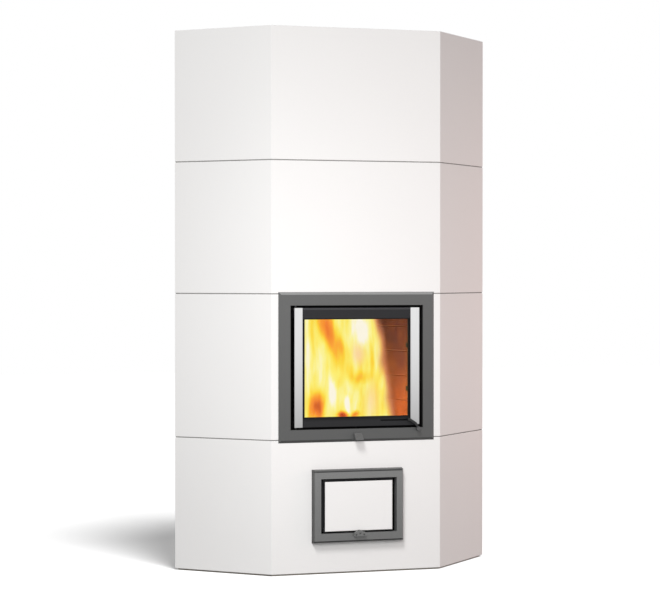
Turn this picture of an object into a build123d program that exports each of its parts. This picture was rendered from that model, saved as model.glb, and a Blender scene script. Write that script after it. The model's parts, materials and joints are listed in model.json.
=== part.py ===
from build123d import *
import math
import os

# A heat-storing corner stove: white cast courses round a refractory core, a glass door and an ash door.
# Everything is drawn in millimetres with y = 0 on the front face, +Y towards the room's corner and z = 0
# on the floor. On writing, the model moves forward so that its origin is the middle of the footprint.

ROOT2 = math.sqrt(2)

# ------------------------------------------------------------------ driving sizes: outside
WALL_RUN = 800.0  # length of each room wall that the stove takes, from the corner of the room
FRONT_WIDTH = 602.0  # front face
HEIGHT = 1840.0  # floor to the top edge of the courses
SHELL = 45.0  # thickness of a course
JOINT = 3.0  # bed joint between two courses
JOINT_LEVELS = (454.0, 944.0, 1392.0)  # middles of the three bed joints
JOINT_SET_BACK = 1.8  # how far the mortar lies behind the face
FLOOR_LINE = 5.0  # the lowest course stands on a plate of this thickness
EDGE_ROUND = 3.0  # rounding of the two vertical front edges
ARRIS = 1.2  # broken edge along each joint

SIDE_LENGTH = WALL_RUN - FRONT_WIDTH / ROOT2
SIDE_DEPTH = SIDE_LENGTH / ROOT2
HALF_WIDTH = FRONT_WIDTH / 2 + SIDE_DEPTH
DEPTH = HALF_WIDTH + SIDE_DEPTH

# ------------------------------------------------------------------ driving sizes: core
AIR_GAP = 25.0  # between the courses and the core
CORE_WALL = 50.0
CORE_OUT = SHELL + AIR_GAP
CORE_IN = CORE_OUT + CORE_WALL
FOUNDATION_TOP = 60.0
RING_LEVELS = (60.0, 440.0, 990.0, 1345.0, 1700.0)
CEILING_TOP = 1750.0
INSULATION_TOP = 1792.0
TOP_SLAB_TOP = 1836.0

FIRE_FRONT = CORE_IN + 2  # the firebox's own plan, inside the core
FIRE_BACK = 390.0
FIRE_HALF_FRONT = 230.0
FIRE_HALF_BACK = 190.0
BRICK = 40.0  # thickness of the firebox walls at the back
FIRE_OUT_FRONT = 260.0  # outside of the side walls, which are thinner at the front
FIRE_OUT_BACK = FIRE_HALF_BACK + BRICK
BRICK_COURSE = 85.5
BRICK_ROWS = 6
BRICK_GAP = 1.0
BRICK_ARRIS = 2.0  # broken edges along the bricks' joints
HEARTH_BOTTOM = 400.0
FIRE_FLOOR = 486.0
GRATE_TOP = FIRE_FLOOR - 2
CHAMBER_TOP = 1600.0
BAFFLE = 30.0
BAFFLE_SLOT = 80.0

GRATE_WIDTH = 190.0
GRATE_DEPTH = 150.0
GRATE_THICK = 16.0
GRATE_SLOT = 9.0
GRATE_EDGE = 14.0  # solid edge in front of the slots and behind them
GRATE_LEDGE = 12.0  # how far the side bricks reach under the grate
GRATE_Y = 265.0
ASH_HALF = 150.0  # half width of the ash chamber
ASH_FLOOR = 150.5

RISER_HALF = 75.0
RISER_WALL = 30.0
RISER_WINDOW_Y = (20.0, 100.0)  # behind the start of the partition
RISER_WINDOW_Z = (90.0, 260.0)
FLUE_Y = 512.0
FLUE_R = 75.0  # bore of a 150 mm flue
SOCKET_R = 77.5  # the socket takes a 150 mm pipe with walls of 2 mm
FLUE_WALL = 3.0
FLUE_GAP = 3.0  # round the collar, in the slab and the board that it passes
COLLAR_FLANGE_R = 105.0
COLLAR_FLANGE = 4.0  # thickness
DAMPER_HALF = 95.0
DAMPER_TOP = TOP_SLAB_TOP + 16
DAMPER_SLOT = (TOP_SLAB_TOP + 6, TOP_SLAB_TOP + 10)
DAMPER_PLATE = 3.0
DAMPER_PLATE_HALF = 80.0
DAMPER_TRAVEL = 155.0
DAMPER_CLOSED_BACK = 591.0
DAMPER_CLOSED_FRONT = 400.0
KNOB_NECK_R = 4.0
KNOB_NECK = 10.0
KNOB_R = 7.0
KNOB_LENGTH = 16.0
SPIGOT_TOP = DAMPER_TOP + 28
SPIGOT_FLANGE = 4.0
FLANGE_BOLT_R = 3.0
BOLT_HEAD_R = 5.0
BOLT_HEAD = 4.0
BOLT_REACH_X = 88.0
BOLT_REACH_Y = 78.0

# ------------------------------------------------------------------ driving sizes: main door
FRAME_HALF = 277.5
FRAME_BOTTOM = 444.5
FRAME_TOP = 950.0
FRAME_PROUD = 6.0
FRAME_SIDE = 0.5  # height of the frame's outer side before the bevel starts
FRAME_BEVEL = 9.0
OPEN_HALF = 236.5
OPEN_BOTTOM = 487.5
OPEN_TOP = 905.0
THROAT_WALL = 10.0
THROAT_BACK = 69.0
STOP_FRONT = 29.0  # face that the leaf's rope seal closes on
STOP_THICK = 5.0
STOP_HALF = 207.0
STOP_BOTTOM = 510.0
STOP_TOP = 886.0
CUT_HALF = 249.0  # half of the gap between the two castings beside the door
SCREW_R = 3.0  # the frames' screws go through the throats' sides into the castings
SCREW_HEAD_R = 5.5
SCREW_HEAD = 3.0
SCREW_LENGTH = 40.0
SCREW_Y = 40.0
DOOR_SCREW_LEVELS = (580.0, 816.0)

LEAF_HALF = 222.5
LEAF_BOTTOM = 495.5
LEAF_TOP = 896.5
LEAF_FRONT = 2.0
LEAF_BACK = 25.0
LEAF_ARRIS = 3.0  # broken edge along the top of the leaf
WINDOW_HALF = 184.5
WINDOW_BOTTOM = 529.0
WINDOW_TOP = 857.5
WINDOW_LIP = 4.0
GLASS_LAP = 6.0
GLASS_THICK = 4.0
GLASS_BED = 1.5
GLASS_PLAY = 0.5
GLASS_FRONT = LEAF_FRONT + WINDOW_LIP + GLASS_BED
GLASS_BACK = GLASS_FRONT + GLASS_THICK
REBATE_HALF = WINDOW_HALF + GLASS_LAP
CLIP_SCREW_R = 2.0
CLIP_LEVELS = (620.0, 768.0)
CLIP_HALF = 8.0
CLIP_THICK = 1.5
CLIP_NOSE = (2.0, 5.5)  # where a side clip's foot starts and ends, in from the rebate's edge
DOOR_ROPE = 8.0  # width of the rope seal
DOOR_ROPE_HALF = 212.5
DOOR_ROPE_LEVELS = (500.5, 891.0)
ROPE_GAP = 0.2  # between a closed seal and its stop
STRIP_INNER = 193.0
STRIP_FRONT = -6.0
STRIP_INNER_FRONT = -1.0
STRIP_CUT_X = 210.5  # the right strip's lower corner is cut off for the air lever
STRIP_CUT_Z = 517.0
STRIP_RIGHT_BOTTOM = 499.5
HINGE_X = -215.5
HINGE_Y = 6.5
HINGE_R = 3.0
PIN_SEAT = 12.0  # depth of a hinge pin's bore in its leaf
PIN_FIXED = 8.0  # depth of a hinge pin in its frame
RUNNING = 0.06  # radial clearance of a running fit

AIR_Z = 514.0  # height of the air lever's slot
AIR_SLOT = 5.0
AIR_STEM = 7.0
AIR_STEM_RIGHT = 187.0
AIR_TRAVEL = 93.0
AIR_ARM = [(180, 513), (180, 520), (188, 520), (212, 504), (219.5, 490), (219.5, 478), (212.5, 478)]
AIR_ARM += [(212.5, 489), (206, 499), (189, 510.5)]  # front view of the bent arm, as (x, z)
AIR_ARM_THICK = 4.0
AIR_KNOB = (216.0, 484.0)
AIR_KNOB_R = 7.5
AIR_KNOB_LENGTH = 12.0
PORT_COUNT = 3
PORT_FIRST = 42.0
PORT_PITCH = 24.0
PORT_WIDTH = 12.0
PORT_Y = (14.0, 21.0)
POCKET_X = (20.0, 200.0)  # the air pocket inside the leaf's lower bar
POCKET_FRONT = 11.0
POCKET_BACK_WALL = 3.0
POCKET_FLOOR = 502.0
POCKET_TOP = 517.5
POCKET_MOUTH = 509.0  # the pocket is open to the firebox up to here
SHUTTER_TOP = POCKET_FLOOR + 3.5

BOLT_Y = 13.0  # the door's bolt slides up through the throat's floor
BOLT_R = 3.5
BOLT_TOP = 494.5  # just under the leaf when it is drawn back
BOLT_TRAVEL = 6.0
BOLT_NECK = (458.0, 464.0)
BOLT_SLOT_HALF = 5.5
BOLT_CARRIAGE_HALF = 9.0
TAB_HALF = 14.0
TAB_TOP = 474.5
TAB_BOTTOM = 451.0
TAB_REACH = 24.0  # how far the tab's lower edge stands out from the frame's face

# ------------------------------------------------------------------ driving sizes: ash door
ASH_FRAME_HALF = 158.0
ASH_FRAME_BOTTOM = 108.0
ASH_FRAME_TOP = 350.5
ASH_FRAME_DRAFT = 2.5  # how much wider the frame is where it meets the course
ASH_FRAME_PROUD = 25.0
ASH_FRAME_SIDE = 21.5
ASH_BEVEL = 3.5
ASH_GROOVE = 2.0  # width of the grooves beside the bevels at the top and the bottom
ASH_GROOVE_FLOOR = 20.0
ASH_GROOVE_HALF = 152.0
ASH_OPEN_HALF = 134.8
ASH_OPEN_BOTTOM = 138.4
ASH_OPEN_TOP = 322.4
ASH_THROAT_WALL = 6.5
ASH_STOP_FRONT = 18.0
ASH_STOP_THICK = 5.0
ASH_STOP_HALF = 112.0
ASH_STOP_BOTTOM = 150.0
ASH_STOP_TOP = 311.0
ASH_CUT = 3.0  # clearance of the throat in the course
ASH_SCREW_LEVELS = (180.0, 280.0)
CATCH_GAP = 10.0  # half of the gap in the stop that the catch passes through

ASH_LEAF_HALF = 126.0
ASH_LEAF_BOTTOM = 142.4
ASH_LEAF_TOP = 318.4
ASH_LEAF_FRONT = -6.0
ASH_LEAF_BACK = 14.0
ASH_TRAY_HALF = 105.0  # the hollow in the leaf's back
ASH_TRAY_LEVELS = (160.0, 303.0)
ASH_TRAY_WALL = 6.0
LUG_HALF = 6.0  # hinge lugs in front of the leaf
LUG_HEIGHT = 14.0
ASH_TILE_HALF = 120.0
ASH_TILE_BOTTOM = 145.0
ASH_TILE_TOP = 312.0
ASH_TILE_FRONT = -22.0
TILE_ARRIS = 1.5
ASH_HINGE_X = -118.0
ASH_HINGE_Y = -8.0
ASH_LATCH_Z = 143.0
ASH_SPINDLE_R = 2.5
ASH_HUB_R = 3.7
ASH_CATCH_Y = (24.0, 28.0)
CATCH_HALF = 3.0
CATCH_REACH = 16.0
WING_OUTLINE = [(19, -16), (22, -12), (19, -2), (8, 2.5)]  # right half of the knob about its spindle, (x, z)
WING_THICK = 10.0
WING_GAP = 0.8  # between the knob and the frame's face
DIMPLES = ((-14, -10.5), (0, -6), (14, -10.5))
DIMPLE_R = 3.2
DIMPLE_DEEP = 4.0
ASH_ROPE = 7.0
ASH_ROPE_HALF = 115.0
ASH_ROPE_LEVELS = (147.0, 314.0)

BOX_HALF = 95.0
BOX_FRONT = 92.0
BOX_BACK = 330.0
BOX_TOP = 235.0
BOX_WALL = 2.0
GRIP_HALF = 35.0
GRIP_REACH = 14.0
GRIP_LEVELS = (200.0, 216.0)
GRIP_WALL = 3.0
ASH_WAY_HALF = 125.0  # the ways through the core's front wall
ASH_WAY_LEVELS = (140.0, 325.0)
FIRE_WAY_HALF = 230.0
FIRE_WAY_LEVELS = (500.0, 900.0)


# ------------------------------------------------------------------ helpers
def block(x, y, z):
    """A box between two planes on each axis, each pair given low then high."""
    centre = Pos((x[0] + x[1]) / 2, (y[0] + y[1]) / 2, (z[0] + z[1]) / 2)
    return centre * Box(x[1] - x[0], y[1] - y[0], z[1] - z[0])


def both(half):
    """The span from minus half to plus half."""
    return (-half, half)


def prism(face, low, high):
    """A plan face raised between two heights."""
    return Pos(0, 0, low) * extrude(face, high - low, dir=(0, 0, 1))


def profile(points, left, right):
    """A side profile, given as (y, z) points, drawn out along X from left to right."""
    face = Plane((left, 0, 0), x_dir=(0, 1, 0), z_dir=(1, 0, 0)) * Polygon(*points, align=None)
    return extrude(face, right - left, dir=(1, 0, 0))


def front_plane(y, z):
    """A plane across the stove at a depth, facing the room, with its origin at height z."""
    return Plane((0, y, z), x_dir=(1, 0, 0), z_dir=(0, -1, 0))


def elevation(points, front, back):
    """A front view, given as (x, z) points, drawn back along Y from front to back."""
    face = front_plane(back, 0) * Polygon(*points, align=None)
    return extrude(face, back - front, dir=(0, -1, 0))


def rod(radius, centre, axis, length):
    """A round bar about its centre, along X, Y or Z."""
    turn = {"x": Rot(0, 90, 0), "y": Rot(90, 0, 0), "z": Rot(0, 0, 0)}[axis]
    return Pos(*centre) * turn * Cylinder(radius, length)


def window_frame(outer_x, outer_z, inner_x, inner_z, y):
    """A flat rectangular frame standing in the XZ plane."""
    return block(outer_x, y, outer_z) - block(inner_x, y, inner_z)


def seal_loop(half, low, high, width, y):
    """A rope seal laid round a rectangle, with its centre line at half, low and high."""
    outer = Rectangle(2 * half + width, high - low + width)
    inner = Rectangle(2 * half - width, high - low - width)
    loop = fillet(outer.vertices(), width) - fillet(inner.vertices(), 1.0)
    return extrude(front_plane(y[1], (low + high) / 2) * loop, y[1] - y[0])


def outline(inset):
    """The stove's five-sided plan, pulled in by inset on every side."""
    front_x = FRONT_WIDTH / 2 - inset * math.tan(math.radians(22.5))
    side_x = HALF_WIDTH - inset * ROOT2
    back = (0, DEPTH - inset * ROOT2)
    front = [(-front_x, inset), (front_x, inset)]
    return Polygon(*front, (side_x, SIDE_DEPTH), back, (-side_x, SIDE_DEPTH), align=None)


# ------------------------------------------------------------------ courses and plates
def course(low, high, front):
    """One cast course: the part in front of the mitres at the walls, or the part behind them."""
    plan = outline(0)
    front_corners = plan.vertices().filter_by(lambda v: v.Y < 1)
    ring = fillet(front_corners, EDGE_ROUND) - outline(SHELL)
    depth = (-1, SIDE_DEPTH) if front else (SIDE_DEPTH, DEPTH + 1)
    body = prism(ring, low, high) & block(both(HALF_WIDTH + 1), depth, (low, high))
    side = -1 if front else 1
    outer = [f for f in body.faces() if side * f.normal_at().Y > 0.5 and abs(f.normal_at().Z) < 0.1]
    if front:
        outer = [f for f in outer if f.center().Y < SIDE_DEPTH - SHELL / 2]
    arrises = [e for f in outer for e in f.edges() if abs(e.tangent_at(0.5).Z) < 0.1]
    return chamfer(unique(arrises), ARRIS)


def unique(edges):
    """The edges without repeats, told apart by their middles."""
    found = {}
    for edge in edges:
        middle = edge.position_at(0.5)
        found[(round(middle.X, 2), round(middle.Y, 2), round(middle.Z, 2))] = edge
    return list(found.values())


def course_spans():
    """Low and high level of each course, from the floor up."""
    lows = [FLOOR_LINE] + [level + JOINT / 2 for level in JOINT_LEVELS]
    highs = [level - JOINT / 2 for level in JOINT_LEVELS] + [HEIGHT]
    return list(zip(lows, highs))


def ash_course(low, high):
    """The lowest course, with the ash door's opening."""
    half = ASH_OPEN_HALF + ASH_THROAT_WALL + ASH_CUT
    bottom = ASH_OPEN_BOTTOM - ASH_THROAT_WALL - ASH_CUT
    top = ASH_OPEN_TOP + ASH_THROAT_WALL + ASH_CUT
    holes = screw_holes(ASH_OPEN_HALF, ASH_SCREW_LEVELS)
    return course(low, high, True) - block(both(half), (-1, SHELL + 1), (bottom, top)) - holes


def door_course(low, high, side):
    """The casting on one side of the main door: side is -1 for left and 1 for right."""
    whole = course(low, high, True) - block(both(CUT_HALF), (-1, SHELL + 1), (low, high))
    half = block(sorted((0, side * (HALF_WIDTH + 1))), (-1, SIDE_DEPTH + 1), (low, high))
    return (whole & half) - screw_holes(OPEN_HALF, DOOR_SCREW_LEVELS)


def bed_joints():
    """The three beds of mortar, set back a little from the face."""
    bed = outline(JOINT_SET_BACK) - outline(SHELL - JOINT_SET_BACK)
    return [prism(bed, level - JOINT / 2, level + JOINT / 2) for level in JOINT_LEVELS]


def top_slab():
    """The plate that closes the top, inside the highest course."""
    slab = prism(outline(SHELL + 2), INSULATION_TOP, TOP_SLAB_TOP)
    return slab - rod(FLUE_R + FLUE_WALL + FLUE_GAP, (0, FLUE_Y, TOP_SLAB_TOP), "z", 200)


# ------------------------------------------------------------------ core
def core_ring(low, high):
    """A five-sided ring of refractory castings."""
    return prism(outline(CORE_OUT) - outline(CORE_IN), low, high)


def inside_core(solid, low, high):
    """What of a solid fits inside the core's walls, less a thin joint."""
    return solid & prism(outline(CORE_IN + 1), low, high)


def brick_plan(side):
    """The plan of a firebox side wall: side is -1 for left and 1 for right."""
    inner = [(side * FIRE_HALF_FRONT, FIRE_FRONT), (side * FIRE_HALF_BACK, FIRE_BACK)]
    outer = [(side * FIRE_OUT_BACK, FIRE_BACK), (side * FIRE_OUT_FRONT, FIRE_FRONT)]
    return Polygon(*inner, *outer, align=None)


def back_plan():
    """The plan of the firebox's back wall."""
    return Pos(0, FIRE_BACK + BRICK / 2) * Rectangle(2 * FIRE_OUT_BACK, BRICK)


def brick_wall(plan, inward):
    """Courses of firebrick, one solid each, from the fire floor up; inward points into the firebox."""
    rows = []
    for row in range(BRICK_ROWS):
        low = FIRE_FLOOR + row * BRICK_COURSE
        high = min(low + BRICK_COURSE, RING_LEVELS[2]) - BRICK_GAP
        brick = prism(plan, low, high)
        fire_face = brick.faces().filter_by(lambda face: face.normal_at().dot(inward) > 0.5)[0]
        brick = chamfer(fire_face.edges().filter_by(Axis.Z, reverse=True), BRICK_ARRIS)
        rows.append(inside_core(brick, low, high))
    return rows


def core_slab(low, high):
    """A slab under or over the firebox, as wide as its walls, leaving the side channels open."""
    half = FIRE_OUT_FRONT + 2
    return inside_core(block(both(half), (FIRE_FRONT, FIRE_BACK + BRICK), (low, high)), low, high)


def grate_hole(extra, low, high):
    """The space for the grate, or for the ash that falls through it."""
    half = GRATE_WIDTH / 2 + extra
    deep = GRATE_DEPTH / 2 + extra
    return block(both(half), (GRATE_Y - deep, GRATE_Y + deep), (low, high))


def floor_bricks():
    """Fire floor: four bricks round the grate, with ledges under its sides."""
    low = RING_LEVELS[1]
    left = -GRATE_WIDTH / 2 - 1
    front = GRATE_Y - GRATE_DEPTH / 2 - 1
    back = GRATE_Y + GRATE_DEPTH / 2 + 1
    edge = FIRE_HALF_BACK - 1
    spans = [
        ((-edge, left - 1), (FIRE_FRONT + 1, FIRE_BACK - 1)),
        ((-left + 1, edge), (FIRE_FRONT + 1, FIRE_BACK - 1)),
        ((left, -left), (FIRE_FRONT + 1, front)),
        ((left, -left), (back, FIRE_BACK - 1)),
    ]
    bricks = [block(x, y, (low, FIRE_FLOOR)) for x, y in spans]
    ledge_y = (GRATE_Y - GRATE_DEPTH / 2, GRATE_Y + GRATE_DEPTH / 2)
    for number, side in ((0, -1), (1, 1)):
        tip = side * (GRATE_WIDTH / 2 - GRATE_LEDGE)
        bricks[number] += block(sorted((tip, side * edge)), ledge_y, (low, GRATE_TOP - GRATE_THICK))
    return bricks


def grate():
    """A flat cast grate that lies on the side bricks' ledges."""
    low = GRATE_TOP - GRATE_THICK
    plate = grate_hole(0, low, GRATE_TOP)
    pitch = 2 * GRATE_SLOT
    count = int((GRATE_WIDTH - pitch) / pitch)
    y = (GRATE_Y - GRATE_DEPTH / 2 + GRATE_EDGE, GRATE_Y + GRATE_DEPTH / 2 - GRATE_EDGE)
    for step in range(count):
        x = (step - (count - 1) / 2) * pitch
        plate -= block((x - GRATE_SLOT / 2, x + GRATE_SLOT / 2), y, (low, GRATE_TOP))
    return plate


def hearth_slab():
    """The slab that carries the firebox, with a well that lets the ash fall."""
    return core_slab(HEARTH_BOTTOM, RING_LEVELS[1]) - grate_hole(-14, HEARTH_BOTTOM, RING_LEVELS[1])


def ash_chamber():
    """Three brick walls round the ash chamber."""
    side = (ASH_HALF, ASH_HALF + BRICK)
    y = (FIRE_FRONT, FIRE_BACK)
    z = (FOUNDATION_TOP, HEARTH_BOTTOM)
    right = block(side, y, z)
    left = block((-side[1], -side[0]), y, z)
    back = block(both(ASH_HALF + BRICK), (FIRE_BACK + 1, FIRE_BACK + 1 + BRICK), z)
    return [left, right, back]


def smoke_baffle():
    """The slab over the fire, with a slot behind the door wall that the gases rise through."""
    low = RING_LEVELS[2]
    slot_y = (FIRE_FRONT + 10, FIRE_FRONT + 10 + BAFFLE_SLOT)
    return core_slab(low, low + BAFFLE) - block(both(FIRE_HALF_BACK), slot_y, (low, low + BAFFLE))


def riser_wall(side):
    """A partition beside the rear riser, with a window at its foot for the gases."""
    inner = side * RISER_HALF
    outer = side * (RISER_HALF + RISER_WALL)
    start = FIRE_BACK + BRICK + 2
    reach = DEPTH - (CORE_IN + 1) * ROOT2
    points = [(inner, start), (outer, start), (outer, reach - abs(outer)), (inner, reach - abs(inner))]
    wall = prism(Polygon(*points, align=None), FOUNDATION_TOP, RING_LEVELS[4])
    window_y = [start + reach_back for reach_back in RISER_WINDOW_Y]
    return wall - block(sorted((inner, outer)), window_y, RISER_WINDOW_Z)


def ceiling_slab():
    """The core's lid, with the way into the flue."""
    slab = prism(outline(CORE_OUT), RING_LEVELS[4], CEILING_TOP)
    return slab - rod(FLUE_R, (0, FLUE_Y, CEILING_TOP), "z", 300)


def insulation_board():
    """Insulation between the core's lid and the top slab."""
    board = prism(outline(CORE_OUT), CEILING_TOP, INSULATION_TOP)
    return board - rod(COLLAR_FLANGE_R + FLUE_GAP, (0, FLUE_Y, INSULATION_TOP), "z", 300)


# ------------------------------------------------------------------ flue collar and damper
def flue_ring(outer, inner, low, high):
    """A ring about the flue's axis."""
    ring = Circle(outer) - Circle(inner)
    return Pos(0, FLUE_Y, low) * extrude(ring, high - low)


def flue_collar():
    """The lower tube, standing with its flange on the core's lid."""
    flange = flue_ring(COLLAR_FLANGE_R, FLUE_R, CEILING_TOP, CEILING_TOP + COLLAR_FLANGE)
    return flange + flue_ring(FLUE_R + FLUE_WALL, FLUE_R, CEILING_TOP, TOP_SLAB_TOP)


def bolt_places():
    """Plan positions of the damper's four bolts."""
    return [(x, FLUE_Y + y) for x in both(BOLT_REACH_X) for y in both(BOLT_REACH_Y)]


def damper_frame():
    """A square housing that the damper plate slides in."""
    y = (FLUE_Y - DAMPER_HALF, FLUE_Y + DAMPER_HALF)
    body = block(both(DAMPER_HALF), y, (TOP_SLAB_TOP, DAMPER_TOP))
    body -= rod(FLUE_R, (0, FLUE_Y, TOP_SLAB_TOP), "z", 100)
    slot_y = (y[0], DAMPER_CLOSED_BACK + 1)
    body -= block(both(DAMPER_PLATE_HALF + 0.5), slot_y, DAMPER_SLOT)
    return body - [rod(FLANGE_BOLT_R, (x, yy, DAMPER_TOP), "z", 24) for x, yy in bolt_places()]


def damper_plate():
    """The damper, pulled out to its open stop."""
    low = DAMPER_SLOT[0] + 0.5
    y = (DAMPER_CLOSED_FRONT - DAMPER_TRAVEL, DAMPER_CLOSED_BACK - DAMPER_TRAVEL)
    return block(both(DAMPER_PLATE_HALF), y, (low, low + DAMPER_PLATE))


def damper_knob():
    """A turned knob on the front edge of the damper plate."""
    front = DAMPER_CLOSED_FRONT - DAMPER_TRAVEL
    z = DAMPER_SLOT[0] + 0.5 + DAMPER_PLATE / 2
    neck = rod(KNOB_NECK_R, (0, front - KNOB_NECK / 2, z), "y", KNOB_NECK)
    head = rod(KNOB_R, (0, front - KNOB_NECK - KNOB_LENGTH / 2, z), "y", KNOB_LENGTH)
    return neck + fillet(head.edges(), 3)


def flue_spigot():
    """The socket on top of the damper housing that takes the flue pipe."""
    y = (FLUE_Y - DAMPER_HALF, FLUE_Y + DAMPER_HALF)
    flange = block(both(DAMPER_HALF), y, (DAMPER_TOP, DAMPER_TOP + SPIGOT_FLANGE))
    flange -= rod(SOCKET_R, (0, FLUE_Y, DAMPER_TOP), "z", 40)
    flange -= [rod(FLANGE_BOLT_R, (x, yy, DAMPER_TOP), "z", 40) for x, yy in bolt_places()]
    return flange + flue_ring(SOCKET_R + FLUE_WALL, SOCKET_R, DAMPER_TOP, SPIGOT_TOP)


def damper_bolts():
    """Four hexagon bolts through the spigot's flange into the housing."""
    bolts = []
    for x, y in bolt_places():
        shank = rod(FLANGE_BOLT_R - 0.1, (x, y, DAMPER_TOP - 3), "z", 14)
        head = Pos(x, y, DAMPER_TOP + SPIGOT_FLANGE) * extrude(RegularPolygon(BOLT_HEAD_R, 6), BOLT_HEAD)
        bolts.append(shank + head)
    return bolts


# ------------------------------------------------------------------ both door frames
def bevelled_plate(half, low, high, side, proud, bevel, draft):
    """A plate on the front face: its sides narrow by the draft, then its front edges slope back."""
    middle = (low + high) / 2
    tall = high - low
    root = front_plane(0, middle) * Rectangle(2 * (half + draft), tall + 2 * draft)
    wide = front_plane(-side, middle) * Rectangle(2 * half, tall)
    narrow = front_plane(-proud, middle) * Rectangle(2 * (half - bevel), tall - 2 * bevel)
    return loft([root, wide], ruled=True) + loft([wide, narrow], ruled=True)


def throat_screws(half, levels):
    """Screws through a throat's sides, at some heights, with their heads inside the throat."""
    screws = []
    for side in (-1, 1):
        for z in levels:
            shank = rod(SCREW_R, (side * (half + SCREW_LENGTH / 2), SCREW_Y, z), "x", SCREW_LENGTH)
            head = rod(SCREW_HEAD_R, (side * (half - SCREW_HEAD / 2), SCREW_Y, z), "x", SCREW_HEAD)
            screws.append(shank + head)
    return screws


def screw_holes(half, levels):
    """The holes for a throat's screws, in the throat and in the casting beside it."""
    x = half + SCREW_LENGTH / 2
    return [rod(SCREW_R, (side * x, SCREW_Y, z), "x", SCREW_LENGTH + 1) for side in (-1, 1) for z in levels]


def hinge_pins(x, y, frame_z, leaf_z):
    """A door's two pins, fixed in its frame; each pair of heights is given low then high."""
    gap = 0.5
    bottom = (frame_z[0] - PIN_FIXED, leaf_z[0] + PIN_SEAT - gap)
    top = (leaf_z[1] - PIN_SEAT + gap, frame_z[1] + PIN_FIXED)
    return [rod(HINGE_R, (x, y, (a + b) / 2), "z", b - a) for a, b in (bottom, top)]


# ------------------------------------------------------------------ main door
def door_frame():
    """The fixed grey frame with its throat, seal stop, hinge bores and the bolt's slot and bore."""
    frame = bevelled_plate(FRAME_HALF, FRAME_BOTTOM, FRAME_TOP, FRAME_SIDE, FRAME_PROUD, FRAME_BEVEL, 0)
    outer_z = (OPEN_BOTTOM - THROAT_WALL, OPEN_TOP + THROAT_WALL)
    frame += block(both(OPEN_HALF + THROAT_WALL), (0, THROAT_BACK), outer_z)
    frame -= block(both(OPEN_HALF), (-FRAME_PROUD - 1, THROAT_BACK + 1), (OPEN_BOTTOM, OPEN_TOP))
    stop_y = (STOP_FRONT, STOP_FRONT + STOP_THICK)
    stop_z = (STOP_BOTTOM, STOP_TOP)
    frame += window_frame(both(OPEN_HALF), (OPEN_BOTTOM, OPEN_TOP), both(STOP_HALF), stop_z, stop_y)
    for z in (OPEN_TOP + PIN_FIXED / 2, OPEN_BOTTOM - PIN_FIXED / 2):
        frame -= rod(HINGE_R, (HINGE_X, HINGE_Y, z), "z", PIN_FIXED)
    slot_z = (BOLT_NECK[0] - 0.5, BOLT_NECK[1] + BOLT_TRAVEL + 0.5)
    frame -= block(both(BOLT_SLOT_HALF), (-FRAME_PROUD - 1, 1), slot_z)
    frame -= rod(BOLT_R + RUNNING, (0, BOLT_Y, OPEN_BOTTOM), "z", 4 * THROAT_WALL)
    return frame - screw_holes(OPEN_HALF, DOOR_SCREW_LEVELS)


def air_ports(low, high):
    """The air ports, between two heights, at the place where the shutter leaves them open."""
    lefts = [PORT_FIRST + step * PORT_PITCH - PORT_WIDTH / 2 for step in range(PORT_COUNT)]
    return [block((left, left + PORT_WIDTH), PORT_Y, (low, high)) for left in lefts]


def door_leaf():
    """The black leaf: a frame round the window, rebated at the back for the glass."""
    leaf = block(both(LEAF_HALF), (LEAF_FRONT, LEAF_BACK), (LEAF_BOTTOM, LEAF_TOP))
    top_front = leaf.faces().sort_by(Axis.Y)[0].edges().sort_by(Axis.Z)[-1]
    leaf = chamfer(top_front, LEAF_ARRIS)
    leaf -= block(both(WINDOW_HALF), (LEAF_FRONT, LEAF_BACK), (WINDOW_BOTTOM, WINDOW_TOP))
    rebate_z = (WINDOW_BOTTOM - GLASS_LAP, WINDOW_TOP + GLASS_LAP)
    leaf -= block(both(REBATE_HALF), (LEAF_FRONT + WINDOW_LIP, LEAF_BACK), rebate_z)
    leaf -= block(POCKET_X, (POCKET_FRONT, LEAF_BACK - POCKET_BACK_WALL), (POCKET_FLOOR, POCKET_TOP))
    leaf -= block(POCKET_X, (POCKET_FRONT, LEAF_BACK), (POCKET_FLOOR, POCKET_MOUTH))
    slot_x = (AIR_STEM_RIGHT - AIR_STEM - AIR_TRAVEL - 1, AIR_STEM_RIGHT + 1)
    slot_z = (AIR_Z - AIR_SLOT / 2, AIR_Z + AIR_SLOT / 2)
    leaf -= block(slot_x, (LEAF_FRONT, POCKET_FRONT), slot_z)
    leaf -= air_ports(LEAF_BOTTOM, POCKET_FLOOR)
    leaf -= rod(BOLT_R + 0.5, (0, BOLT_Y, LEAF_BOTTOM), "z", 2 * (BOLT_TRAVEL + 1))
    for z in (LEAF_TOP - PIN_SEAT / 2, LEAF_BOTTOM + PIN_SEAT / 2):
        leaf -= rod(HINGE_R + RUNNING, (HINGE_X, HINGE_Y, z), "z", PIN_SEAT)
    for x, z in clip_places():
        leaf -= rod(CLIP_SCREW_R, (x, LEAF_BACK - 5, z), "y", 10)
    return leaf


def glass_levels():
    """Lower and upper edge of the pane, in its rebate."""
    return (WINDOW_BOTTOM - GLASS_LAP + GLASS_PLAY, WINDOW_TOP + GLASS_LAP - GLASS_PLAY)


def door_glass():
    """The ceramic glass pane."""
    return block(both(REBATE_HALF - GLASS_PLAY), (GLASS_FRONT, GLASS_BACK), glass_levels())


def glass_rope():
    """The flat rope that the glass beds on."""
    y = (LEAF_FRONT + WINDOW_LIP, GLASS_FRONT)
    inner_z = (WINDOW_BOTTOM - GLASS_PLAY, WINDOW_TOP + GLASS_PLAY)
    outer_x = both(REBATE_HALF - GLASS_PLAY)
    return window_frame(outer_x, glass_levels(), both(WINDOW_HALF + GLASS_PLAY), inner_z, y)


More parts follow.
